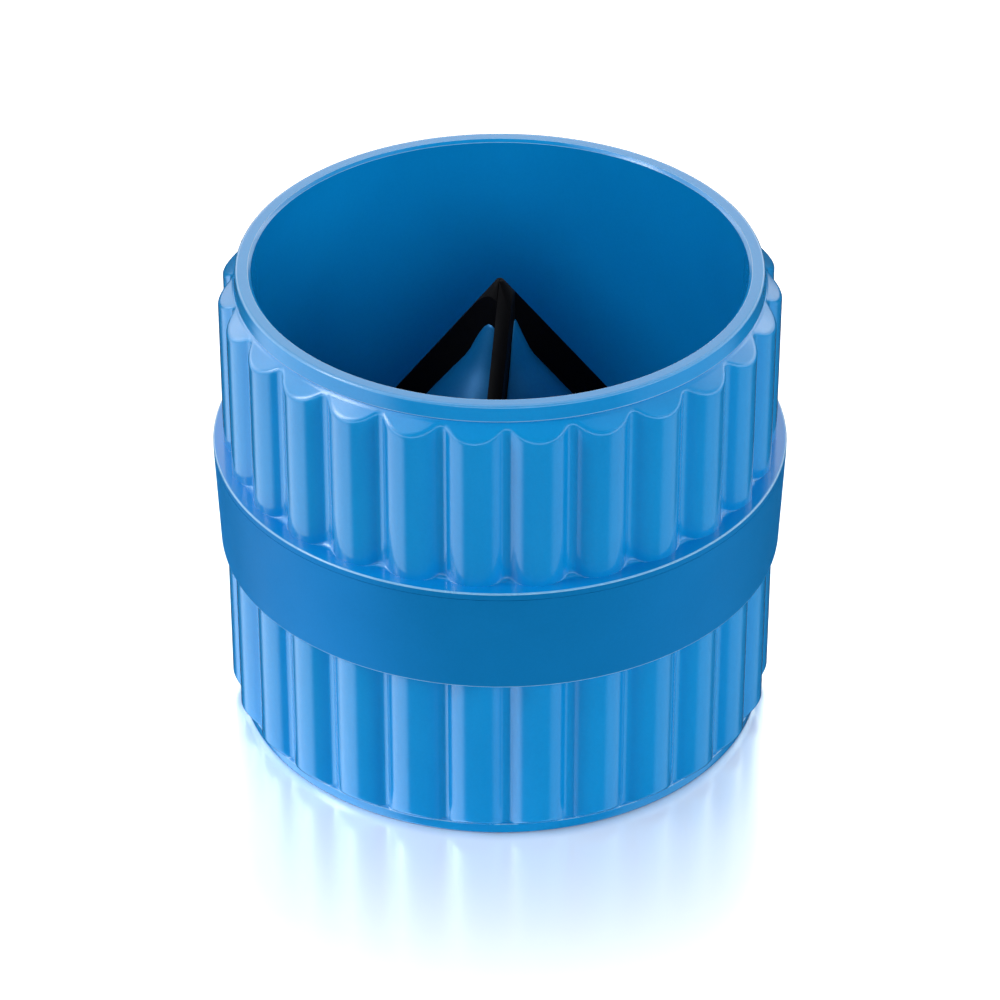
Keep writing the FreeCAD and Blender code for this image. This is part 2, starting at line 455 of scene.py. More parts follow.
@dataclass(frozen=True)
class MouldedPlastic(Finish):
    """Pigmented plastic as it leaves the mould, with light wear from use and a painted highlight on
    rounded edges.

    deep and pale are the two ends of the pigment's drift, the third colour is a painted highlight
    on rounded edges that also stands for rubbed wear, and pearl is the share of pigment flakes,
    which mirror light in the pigment's own colour.
    """

    pale: Colour
    wear_and_highlight: Colour
    roughness: float
    roughness_spread: float
    grain_size: float
    grain_depth: float
    ripple_share: float
    wear_and_highlight_share: float
    coat: float
    coat_roughness: float
    specular: float = 0.5
    pearl: float = 0.0
    scratch_share: float = 0.3

    def surface(self, tree: Tree) -> Node:
        """Lay out the plastic.

        Args:
            tree: the material's tree.

        Returns:
            The shader node.
        """
        drift = ColourDrift().place(tree, Cloud_size=14.0, Speckle_size=0.3, Speckle_share=0.35)
        edge = tree.add("ShaderNodeAttribute", attribute_name=EDGE_LAYER).outputs["Fac"]
        # Rounded edges are lightened towards the third colour: a painted highlight along them, with
        # some rubbed wear.
        wear = EdgeWearAndHighlight().place(tree, Edge=edge, Start=2.4, Full=5.0, Break_up=0.5)
        scuffs = HandlingScuffs().place(tree, Scratch_size=0.5, Patch_size=6.0)
        grain = MouldGrain().place(
            tree, Grain_size=self.grain_size, Ripple_size=5.0, Ripple_share=self.ripple_share
        )
        pigment = tree.mix(drift.outputs["Drift"], (*self.deep, 1.0), (*self.pale, 1.0))
        rubbed = tree.math("MULTIPLY", wear.outputs["Wear"], self.wear_and_highlight_share)
        colour = tree.mix(rubbed, pigment, (*self.wear_and_highlight, 1.0))
        patches = tree.math("MULTIPLY", scuffs.outputs["Patches"], self.roughness_spread)
        scratch_spread = self.roughness_spread * self.scratch_share
        scratches = tree.math("MULTIPLY", scuffs.outputs["Scratches"], scratch_spread)
        dull = tree.total(self.roughness, patches, scratches)
        bump = tree.bump(grain.outputs["Height"], self.grain_depth)
        return tree.add("ShaderNodeBsdfPrincipled", {
            "Base Color": colour,
            "Metallic": self.pearl,
            "Roughness": dull,
            "Normal": bump,
            "IOR": 1.5,
            "Specular IOR Level": self.specular,
            "Coat Weight": self.coat,
            "Coat Roughness": self.coat_roughness,
        })


@dataclass(frozen=True)
class ToolSteel(Finish):
    """Steel with lines left by grinding or drawing, rubbed to its bare colour on edges."""

    bare: Colour
    metallic: float
    roughness: float
    line_width: float
    line_depth: float
    bare_share: float
    specular: float = 0.5
    thin_share: float = 0.25
    roughness_spread: float = 0.12

    def surface(self, tree: Tree) -> Node:
        """Lay out the steel.

        Args:
            tree: the material's tree.

        Returns:
            The shader node.
        """
        ground = GroundLines().place(tree, Line_width=self.line_width, Stretch=0.05)
        lines = ground.outputs["Lines"]
        drift = ColourDrift().place(tree, Cloud_size=5.0, Speckle_size=0.2, Speckle_share=0.5)
        edge = tree.add("ShaderNodeNewGeometry").outputs["Pointiness"]
        wear = EdgeWearAndHighlight().place(tree, Edge=edge, Start=0.53, Full=0.66, Break_up=0.7)
        scuffs = HandlingScuffs().place(tree, Scratch_size=0.35, Patch_size=3.0)
        thin = tree.math("MULTIPLY", drift.outputs["Drift"], self.thin_share)
        wear_and_highlight = tree.math("MAXIMUM", wear.outputs["Wear"], thin)
        rubbed = tree.math("MULTIPLY", wear_and_highlight, self.bare_share)
        colour = tree.mix(rubbed, (*self.deep, 1.0), (*self.bare, 1.0))
        patches = tree.math("MULTIPLY", scuffs.outputs["Patches"], self.roughness_spread)
        streaks = tree.math("MULTIPLY", lines, self.roughness_spread)
        dull = tree.total(self.roughness, patches, streaks)
        bump = tree.bump(lines, self.line_depth)
        return tree.add("ShaderNodeBsdfPrincipled", {
            "Base Color": colour,
            "Metallic": self.metallic,
            "Roughness": dull,
            "Normal": bump,
            "Specular IOR Level": self.specular,
        })


# Each plastic's third colour and its share paint a highlight along rounded edges, with some rubbed
# wear.
GLOSSY_BLUE = MouldedPlastic(
    name="Glossy moulded blue",
    deep=(0.001, 0.278, 0.69), pale=(0.002, 0.306, 0.73), wear_and_highlight=(0.34, 0.66, 0.90),
    roughness=0.22, roughness_spread=0.02, grain_size=0.16, grain_depth=0.002, ripple_share=6.0,
    wear_and_highlight_share=0.8, coat=0.8, coat_roughness=0.05, specular=0.3,
)
SATIN_BLUE = MouldedPlastic(
    name="Satin moulded blue",
    deep=(0.002, 0.19, 0.49), pale=(0.003, 0.207, 0.53), wear_and_highlight=(0.35, 0.66, 0.90),
    roughness=0.4, roughness_spread=0.05, grain_size=0.12, grain_depth=0.004, ripple_share=3.0,
    wear_and_highlight_share=0.95, coat=0.0, coat_roughness=0.3, specular=0.06, pearl=0.15,
)
# The carrier's blue is the barrel's blue darkened to about a third: painted shade for its place
# deep in the bore.
SHADED_CARRIER_BLUE = MouldedPlastic(
    name="Carrier blue with painted shade",
    deep=(0.001, 0.10, 0.26), pale=(0.002, 0.12, 0.29), wear_and_highlight=(0.02, 0.2, 0.42),
    roughness=0.4, roughness_spread=0.06, grain_size=0.16, grain_depth=0.004, ripple_share=4.0,
    wear_and_highlight_share=0.2, coat=0.0, coat_roughness=0.2, specular=0.12, pearl=0.14,
)
BLACK_STEEL = ToolSteel(
    name="Black oxide steel",
    deep=(0.0015, 0.0015, 0.002), bare=(0.04, 0.04, 0.045), metallic=0.0, roughness=0.45,
    line_width=0.05, line_depth=0.002, bare_share=0.1, specular=0.025,
)
BRIGHT_STEEL = ToolSteel(
    name="Bright drawn steel",
    deep=(0.50, 0.50, 0.51), bare=(0.66, 0.66, 0.67), metallic=1.0, roughness=0.26,
    line_width=0.05, line_depth=0.002, bare_share=0.8,
)


# ---- Shapes ------------------------------------------------------------------------------------


def smooth_min(first: np.ndarray | float, second: np.ndarray | float, blend: float) -> np.ndarray:
    """Return the smaller of two values, rounded over where they are closer than blend."""
    share = np.clip(0.5 + 0.5 * (np.asarray(second) - first) / blend, 0.0, 1.0)
    return second + (first - second) * share - blend * share * (1.0 - share)


def smooth_max(first: np.ndarray | float, second: np.ndarray | float, blend: float) -> np.ndarray:
    """Return the larger of two values, rounded over where they are closer than blend."""
    return -smooth_min(-np.asarray(first), -np.asarray(second), blend)


def rounded_path(corners: Sequence[Corner], arc_steps: int = 5, guard: float = 0.12) -> np.ndarray:
    """Return an open path through corners, with an arc at each rounded one.

    Args:
        corners: (radius, height, rounding) of each corner, with 0 for a sharp one.
        arc_steps: points on each arc.
        guard: distance of the extra points that keep the painted edge highlight and wear off the
            straight runs.

    Returns:
        An array of (radius, height) rows.
    """
    points = [np.array(corner[:2], float) for corner in corners]
    arcs: list[list[np.ndarray]] = []
    for i, here in enumerate(points):
        rounding = corners[i][2]
        if rounding == 0.0 or i in (0, len(points) - 1):
            arcs.append([here])
            continue
        back = points[i - 1] - here
        ahead = points[i + 1] - here
        back /= np.linalg.norm(back)
        ahead /= np.linalg.norm(ahead)
        half = math.acos(float(np.clip(back @ ahead, -1.0, 1.0))) / 2.0
        inward = (back + ahead) / np.linalg.norm(back + ahead)
        centre = here + inward * rounding / math.sin(half)
        start = here + back * rounding / math.tan(half) - centre
        end = here + ahead * rounding / math.tan(half) - centre
        sweep = math.pi - 2.0 * half
        turns = [
            math.sin((1.0 - share) * sweep) * start + math.sin(share * sweep) * end
            for share in np.linspace(0.0, 1.0, arc_steps)
        ]
        arcs.append([centre + turn / math.sin(sweep) for turn in turns])
    path = list(arcs[0])
    for before, arc in zip(arcs, arcs[1:]):
        gap = arc[0] - before[-1]
        span = float(np.linalg.norm(gap))
        if span > 3.0 * guard and len(before) > 1:
            path.append(before[-1] + gap * guard / span)
        if span > 3.0 * guard and len(arc) > 1:
            path.append(arc[0] - gap * guard / span)
        path += arc
    return np.array(path)


def mark_edges(shell: bmesh.types.BMesh) -> None:
    """Store how sharply the surface turns outwards at each corner point, in radians per millimetre.

    Args:
        shell: the mesh, in metres.
    """
    layer = shell.verts.layers.float.new(EDGE_LAYER)
    for edge in shell.edges:
        length = edge.calc_length()
        if len(edge.link_faces) != 2 or length == 0.0:
            continue
        width = sum(face.calc_area() for face in edge.link_faces) / 2.0 / length
        sharpness = edge.calc_face_angle_signed(0.0) / width * MM
        for corner in edge.verts:
            corner[layer] = max(corner[layer], min(sharpness, EDGE_SHARPNESS_LIMIT))


def add_mesh(
    name: str,
    points: np.ndarray,
    faces: Faces,
    crease: float = 32.0,
    weld: float = 0.0005,
) -> bpy.types.Object:
    """Add a smooth-shaded mesh object, with creases where faces turn sharply.

    Args:
        name: the object's name.
        points: corner points in millimetres.
        faces: corner numbers of each face.
        crease: faces that meet at more than this angle keep a hard edge.
        weld: corners closer than this become one.

    Returns:
        The new object.
    """
    mesh = bpy.data.meshes.new(name)
    mesh.from_pydata((points * MM).tolist(), [], faces)
    shell = bmesh.new()
    shell.from_mesh(mesh)
    bmesh.ops.remove_doubles(shell, verts=shell.verts, dist=weld * MM)
    bmesh.ops.recalc_face_normals(shell, faces=shell.faces)
    mark_edges(shell)
    shell.to_mesh(mesh)
    shell.free()
    mesh.shade_smooth()
    mesh.set_sharp_from_angle(angle=math.radians(crease))
    made = bpy.data.objects.new(name, mesh)
    bpy.context.scene.collection.objects.link(made)
    return made


def ring_faces(columns: int, rows: int) -> Faces:
    """Return quads of a surface that closes both round the axis and along its section.

    Args:
        columns: points round the axis.
        rows: points along the section.

    Returns:
        Corner numbers of each quad, with point (column, row) numbered column * rows + row.
    """
    column, row = np.meshgrid(np.arange(columns), np.arange(rows), indexing="ij")
    next_column, next_row = (column + 1) % columns, (row + 1) % rows
    corners = (
        column * rows + row,
        column * rows + next_row,
        next_column * rows + next_row,
        next_column * rows + row,
    )
    return np.stack([corner.ravel() for corner in corners], axis=1).tolist()


def turned_ring(
    angles: np.ndarray, radii: np.ndarray, heights: np.ndarray
) -> tuple[np.ndarray, Faces]:
    """Return the points and faces of a ring whose section may change round the axis.

    Args:
        angles: direction of each column, in radians.
        radii: radius of each (column, row) point, or of each row where all columns are alike.
        heights: height of each row.

    Returns:
        The ring's points and faces.
    """
    count = len(angles)
    radii = np.broadcast_to(radii, (count, len(heights)))
    x = radii * np.cos(angles)[:, None]
    y = radii * np.sin(angles)[:, None]
    points = np.stack([x, y, np.broadcast_to(heights, radii.shape)], axis=2).reshape(-1, 3)
    return points, ring_faces(*radii.shape)


def beside(count: int, *sections: np.ndarray) -> np.ndarray:
    """Join the radii of sections end to end, for a number of columns.

    Args:
        count: the number of columns.
        sections: radii by row, or by (column, row).

    Returns:
        An array of radii by (column, row).
    """
    return np.hstack([np.broadcast_to(section, (count, section.shape[-1])) for section in sections])


@dataclass
class Flutes:
    """Outline of the grip: broad convex flutes joined by narrow concave grooves."""

    count: int = 27
    crest_radius: float = 28.05
    depth: float = 1.25
    groove_curve: float = 0.9
    turn: float = -88.6
    groove_steps: int = 12
    crest_steps: int = 22

    @property
    def floor_radius(self) -> float:
        """Radius at the bottom of the grooves."""
        return self.crest_radius - self.depth

    @property
    def groove_centre(self) -> float:
        """Distance from the axis to the centre of a groove's arc."""
        return self.floor_radius + self.groove_curve

    @property
    def half_pitch(self) -> float:
        """Half the angle from groove to groove, in radians."""
        return math.pi / self.count

    @property
    def crest_curve(self) -> float:
        """Radius of a flute's arc, which meets the grooves' arcs in common tangents."""
        along = self.groove_centre * math.cos(self.half_pitch)
        gap = self.crest_radius**2 + self.groove_centre**2 - 2 * self.crest_radius * along
        return (gap - self.groove_curve**2) / (2 * (self.crest_radius - along + self.groove_curve))

    @property
    def joint_angle(self) -> float:
        """Angle from a groove's middle to where its arc meets the flute's, in radians."""
        crest_centre = self.crest_radius - self.crest_curve
        centre = np.array([self.groove_centre, 0.0])
        other = crest_centre * np.array([math.cos(self.half_pitch), math.sin(self.half_pitch)])
        joint = centre + (other - centre) / np.linalg.norm(other - centre) * self.groove_curve
        return abs(math.atan2(joint[1], joint[0]))

    def columns(self) -> np.ndarray:
        """Spread columns round the grip, closer together in the grooves.

        Returns:
            Directions in radians.
        """
        joint = self.joint_angle
        groove = np.linspace(-joint, joint, self.groove_steps, endpoint=False)
        crest = np.linspace(joint, 2 * self.half_pitch - joint, self.crest_steps, endpoint=False)
        one = np.concatenate([groove, crest])
        starts = math.radians(self.turn) + 2 * self.half_pitch * np.arange(self.count)
        return (starts[:, None] + one[None, :]).ravel()

    def radius(self, angles: np.ndarray) -> np.ndarray:
        """Return the outline's radius in each direction.

        Args:
            angles: directions in radians.

        Returns:
            Radii in millimetres.
        """
        shifted = angles - math.radians(self.turn) + self.half_pitch
        from_groove = np.abs(shifted % (2 * self.half_pitch) - self.half_pitch)
        across = self.groove_centre * np.sin(from_groove)
        inside = np.sqrt(np.clip(self.groove_curve**2 - across**2, 0.0, None))
        groove = self.groove_centre * np.cos(from_groove) - inside
        from_crest = self.half_pitch - from_groove
        crest_centre = self.crest_radius - self.crest_curve
        bulge = np.sqrt(self.crest_curve**2 - (crest_centre * np.sin(from_crest)) ** 2)
        crest = crest_centre * np.cos(from_crest) + bulge
        return np.where(from_groove < self.joint_angle, groove, crest)


# ---- Sub-assemblies ----------------------------------------------------------------------------


@dataclass
class Piece:
    """A piece of the tool that stands for one node of the frame."""

    node: str
    title: str
    finish: MouldedPlastic
    slot: Slot

    def shape(self) -> bpy.types.Object:
        """Build and return the piece's mesh object."""
        raise NotImplementedError

    def build(self) -> bpy.types.Object:
        """Build the piece, dress it, and let it stand for its node.

        Returns:
            The finished object.
        """
        made = self.shape()
        if not made.data.materials:
            made.data.materials.append(self.finish.material())
        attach(made, ROOT_BODY)
        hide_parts(self.node)
        low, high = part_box(self.node)
        corners = np.array([corner[:] for corner in made.bound_box])
        grown = np.abs(np.array([corners.min(0) - low, corners.max(0) - high])).max() / MM
        count = len(made.data.polygons)
        log.info("%s: %d faces, box within %.3f mm of its node's", self.title, count, grown)
        return made


@dataclass
class BarrelHalf(Piece):
    """What the two halves of the barrel share: the grip's flutes, the bore and the snap bead."""

    finish: MouldedPlastic = GLOSSY_BLUE
    slot: Slot = Slot.BARREL
    flutes: Flutes = field(default_factory=Flutes)
    bore_radius: float = 24.7
    chamfer_slope: float = 0.8
    bead_height: float = 0.28
    bead_base: float = 21.45
    bead_width: float = 1.2
    soft_edge: float = 0.08
    scallop_below: float = 0.7
    flute_start: float = 1.5
    flute_rows: int = 7

    def bead(self, radius: float) -> list[Corner]:
        """Lay out the snap bead, or the groove for it, from its top down.

        Args:
            radius: the wall that it stands on.

        Returns:
            The section's corners.
        """
        return [
            (radius, self.bead_base + self.bead_width, 0.0),
            (radius + self.bead_height, self.bead_base + self.bead_width / 2, self.soft_edge),
            (radius, self.bead_base, 0.0),
        ]


@dataclass
class UpperBarrel(BarrelHalf):
    """Rim, collar, upper flutes, shoulder, and the spigot that enters the lower half."""

    node: str = "upper_barrel"
    title: str = "Barrel_upper_half"
    rim_height: float = 50.5
    rim_radius: float = 26.25
    collar_radius: float = 26.5
    collar_base: float = 48.6
    rim_round: float = 0.3
    rim_lean: float = 0.045
    rim_fall: float = 0.6
    mouth_chamfer: float = 0.3
    bore_start: float = 6.0
    shoulder_radius: float = 29.1
    shoulder_top: float = 30.9
    shoulder_base: float = 30.15
    shoulder_round: float = 0.18
    cove_radius: float = 0.7
    cove_gap: float = 0.08
    spigot_radius: float = 25.75
    spigot_end: float = 20.25
    spigot_shoulder: float = 25.3
    flank_margin: float = 0.1
    flank_finish: MouldedPlastic = SATIN_BLUE
    scallop_blend: float = 0.38
    scallop_above: float = 0.4
    collar_blend: float = 0.1
    collar_line_depth: float = 0.16
    collar_line_rise: float = 0.16
    collar_line_width: float = 0.09
    cove_blend: float = 0.25
    collar_rows: int = 4
    scallop_rows: int = 40
    cove_rows: int = 18

    def rim_path(self) -> np.ndarray:
        """Draw the section from the bore, over the rim, to the top of the collar's outside.

        Returns:
            An array of (radius, height) rows.
        """
        return rounded_path([
            (self.bore_radius, self.rim_height - self.bore_start, 0.0),
            (self.bore_radius, self.rim_height - self.mouth_chamfer, self.soft_edge),
            (self.bore_radius + self.mouth_chamfer, self.rim_height, self.soft_edge),
            (self.rim_radius, self.rim_height, self.rim_round),
            (self.rim_radius + self.rim_lean, self.rim_height - self.rim_fall, 0.0),
        ], arc_steps=6)

    def shoulder_path(self) -> np.ndarray:
        """Draw the section from the ledge, over the shoulder and the spigot, back up the bore.

        Returns:
            An array of (radius, height) rows.
        """
        return rounded_path([
            (self.flutes.floor_radius + self.cove_radius + self.cove_gap, self.shoulder_top, 0.0),
            (self.shoulder_radius, self.shoulder_top, self.shoulder_round),
            (self.shoulder_radius, self.shoulder_base, 0.0),
            (self.flutes.floor_radius, self.shoulder_base, self.soft_edge),
            (self.flutes.floor_radius, self.spigot_shoulder, self.soft_edge),
            (self.spigot_radius, self.spigot_shoulder, self.soft_edge),
            *self.bead(self.spigot_radius),
            (self.spigot_radius, self.spigot_end, self.soft_edge),
            (self.bore_radius, self.spigot_end, self.soft_edge),
            (self.bore_radius, self.shoulder_top, 0.0),
        ])

    def grip_heights(self) -> np.ndarray:
        """Space the rows down the fluted outside, close together at both ends.

        Returns:
            Heights in millimetres.
        """
        chamfer_width = self.flutes.crest_radius - self.collar_radius
        chamfer_foot = self.collar_base - self.chamfer_slope * chamfer_width
        cove_top = self.shoulder_top + self.cove_radius
        arc = np.radians(np.linspace(4.0, 90.0, self.cove_rows))
        scallop_top = self.collar_base + self.scallop_above
        collar_top = self.rim_height - 1.5 * self.rim_fall
        return np.concatenate([
            np.linspace(collar_top, scallop_top + 0.05, self.collar_rows),
            np.linspace(scallop_top, chamfer_foot - self.scallop_below, self.scallop_rows),
            np.linspace(chamfer_foot - self.flute_start, cove_top + 0.4, self.flute_rows),
            cove_top - self.cove_radius * np.sin(arc),
        ])

    def grip_radii(self, angles: np.ndarray, heights: np.ndarray) -> np.ndarray:
        """Return the fluted outside's radius.

        Args:
            angles: direction of each column, in radians.
            heights: height of each row.

        Returns:
            An array of radii by (column, row).
        """
        outline = self.flutes.radius(angles)[:, None]
        collar_slope = (self.collar_radius - self.rim_radius) / (self.rim_height - self.collar_base)
        collar = self.collar_radius - collar_slope * np.clip(heights - self.collar_base, 0.0, None)
        from_line = (heights - self.collar_base - self.collar_line_rise) / self.collar_line_width
        collar = collar - self.collar_line_depth * np.exp(-(from_line**2))
        chamfer = self.collar_radius + (self.collar_base - heights) / self.chamfer_slope
        ended = smooth_min(outline, chamfer[None, :], self.scallop_blend)
        ringed = smooth_max(ended, collar[None, :], self.collar_blend)
        centre = self.shoulder_top + self.cove_radius
        rise = np.clip((centre - heights) / self.cove_radius, 0.0, 1.0)
        cove = self.flutes.floor_radius + self.cove_radius * (1.0 - np.sqrt(1.0 - rise**2))
        coved = smooth_max(ringed, cove[None, :], self.cove_blend * rise)
        return np.where(heights < centre, coved, ringed)

    def shape(self) -> bpy.types.Object:
        """Build the upper half of the barrel as one closed ring.

        Returns:
            The barrel half's object.
        """
        angles = self.flutes.columns()
        heights = self.grip_heights()
        rim, shoulder = self.rim_path(), self.shoulder_path()
        grip = self.grip_radii(angles, heights)
        radii = beside(len(angles), rim[:, 0], grip, shoulder[:, 0])
        rows = np.concatenate([rim[:, 1], heights, shoulder[:, 1]])
        made = add_mesh(self.title, *turned_ring(angles, radii, rows))
        self.dress_flank(made)
        return made

    def dress_flank(self, made: bpy.types.Object) -> None:
        """Give the shoulder's upright side the finish of the band below it.

        Args:
            made: the barrel's object, before its own finish is added.
        """
        made.data.materials.append(self.finish.material())
        made.data.materials.append(self.flank_finish.material())
        foot = self.shoulder_base - self.flank_margin
        top = self.shoulder_top - self.flank_margin
        inside = self.shoulder_radius - self.flank_margin
        for face in made.data.polygons:
            centre = face.center / MM
            if foot < centre.z < top and centre.xy.length > inside:
                face.material_index = 1


@dataclass
class LowerBarrel(BarrelHalf):
    """Foot ring, lower flutes, neck with the socket, and the ledge under the blade carrier."""

    node: str = "lower_barrel"
    title: str = "Barrel_lower_half"
    grip_top: float = 19.3
    foot_radius: float = 27.1
    foot_height: float = 1.2
    foot_round: float = 0.3
    foot_rise: float = 0.66
    neck_top: float = 25.25
    socket_radius: float = 25.8
    socket_floor: float = 20.2
    ledge_height: float = 6.0
    lip_radius: float = 22.9
    mouth_depth: float = 4.2
    mouth_flare: float = 1.5
    keyway_depth: float = 0.55
    keyway_width: float = 1.5
    keyway_turn: float = 260.0
    keyway_count: int = 3
    top_edge: float = 0.2
    scallop_blend: float = 0.45
    foot_blend: float = 0.18
    foot_slope: float = 0.35
    scallop_rows: int = 30
    edge_rows: int = 6

    def hollow_path(self) -> np.ndarray:
        """Draw the section from the neck's outside, down through the hollow, to the foot's edge.

        Returns:
            An array of (radius, height) rows.
        """
        floor_radius = self.flutes.floor_radius
        return rounded_path([
            (floor_radius, self.grip_top, 0.0),
            (floor_radius, self.neck_top, self.soft_edge),
            (self.socket_radius, self.neck_top, self.soft_edge),
            *self.bead(self.socket_radius),
            (self.socket_radius, self.socket_floor, self.soft_edge),
            (self.bore_radius, self.socket_floor, self.soft_edge),
            (self.bore_radius, self.ledge_height, self.soft_edge),
            (self.lip_radius, self.ledge_height, self.soft_edge),
            (self.lip_radius, self.mouth_depth, self.soft_edge),
            (self.lip_radius + self.mouth_flare, 0.0, self.soft_edge),
            (self.foot_radius, 0.0, self.foot_round),
            (self.foot_radius, self.foot_rise, 0.0),
        ])

    def grip_heights(self) -> np.ndarray:
        """Space the rows up the fluted outside, close together at both ends.

        Returns:
            Heights in millimetres.
        """
        chamfer_width = self.flutes.crest_radius - self.foot_radius
        crest_foot = self.foot_height + self.chamfer_slope * chamfer_width
        arc = np.radians(np.linspace(0.0, 90.0, self.edge_rows))
        return np.concatenate([
            np.linspace(self.foot_height - 0.4, crest_foot + self.scallop_below, self.scallop_rows),
            np.linspace(crest_foot + self.flute_start, self.grip_top - 1.0, self.flute_rows),
            self.grip_top - self.top_edge * (1.0 - np.sin(arc)),
        ])

    def grip_radii(self, angles: np.ndarray, heights: np.ndarray) -> np.ndarray:
        """Return the fluted outside's radius.

        Args:
            angles: direction of each column, in radians.
            heights: height of each row.

        Returns:
            An array of radii by (column, row).
        """
        outline = self.flutes.radius(angles)[:, None]
        chamfer = self.foot_radius + (heights - self.foot_height) / self.chamfer_slope
        foot = self.foot_radius - np.clip(heights - self.foot_height, 0.0, None) / self.foot_slope
        ended = smooth_min(outline, chamfer[None, :], self.scallop_blend)
        footed = smooth_max(ended, foot[None, :], self.foot_blend)
        into_edge = np.clip((heights - self.grip_top + self.top_edge) / self.top_edge, 0.0, 1.0)
        return footed - self.top_edge * (1.0 - np.sqrt(1.0 - into_edge**2))[None, :]

    def in_keyway(self, angles: np.ndarray) -> np.ndarray:
        """Return True for each direction that falls in a keyway.

        Args:
            angles: directions in radians.

        Returns:
            An array of booleans.
        """
        pitch = 2 * math.pi / self.keyway_count
        middle = math.radians(self.keyway_turn) + self.keyway_width / 2 / self.bore_radius
        off = np.abs((angles - middle + pitch / 2) % pitch - pitch / 2)
        return off < self.keyway_width / 2 / self.bore_radius

    def shape(self) -> bpy.types.Object:
        """Build the lower half of the barrel as one closed ring, with its keyways.

        Returns:
            The barrel half's object.
        """
        angles = self.flutes.columns()
        heights = self.grip_heights()
        hollow = self.hollow_path()
        on_bore = np.isclose(hollow[:, 0], self.bore_radius, atol=self.soft_edge)
        on_bore &= (hollow[:, 1] >= self.ledge_height) & (hollow[:, 1] <= self.socket_floor)
        keyed = self.in_keyway(angles)[:, None] & on_bore[None, :]
        hollow_radii = hollow[:, 0] + self.keyway_depth * keyed
        radii = beside(len(angles), hollow_radii, self.grip_radii(angles, heights))
        rows = np.concatenate([hollow[:, 1], heights])
        return add_mesh(self.title, *turned_ring(angles, radii, rows))


@dataclass
class CentreBand(Piece):
    """Smooth ring trapped between the shoulder and the tops of the lower flutes."""

    node: str = "centre_band"
    title: str = "Band_centre"
    finish: MouldedPlastic = SATIN_BLUE
    slot: Slot = Slot.BAND
    inner_radius: float = 26.85
    top_radius: float = 29.1
    base_radius: float = 28.65
    base_height: float = 19.35
    top_height: float = 30.1
    base_round: float = 0.22
    columns: int = 720

    def shape(self) -> bpy.types.Object:
        """Build the band as one closed ring.

        Returns:
            The band's object.
        """
        middle = (self.base_height + self.top_height) / 2
        path = rounded_path([
            (self.inner_radius, middle, 0.0),
            (self.inner_radius, self.base_height, 0.0),
            (self.base_radius, self.base_height, self.base_round),
            (self.top_radius, self.top_height, 0.0),
            (self.inner_radius, self.top_height, 0.0),
            (self.inner_radius, middle + 1.0, 0.0),
        ], arc_steps=7)[::-1]
        angles = np.linspace(0.0, 2 * math.pi, self.columns, endpoint=False)
        return add_mesh(self.title, *turned_ring(angles, path[:, 0], path[:, 1]))


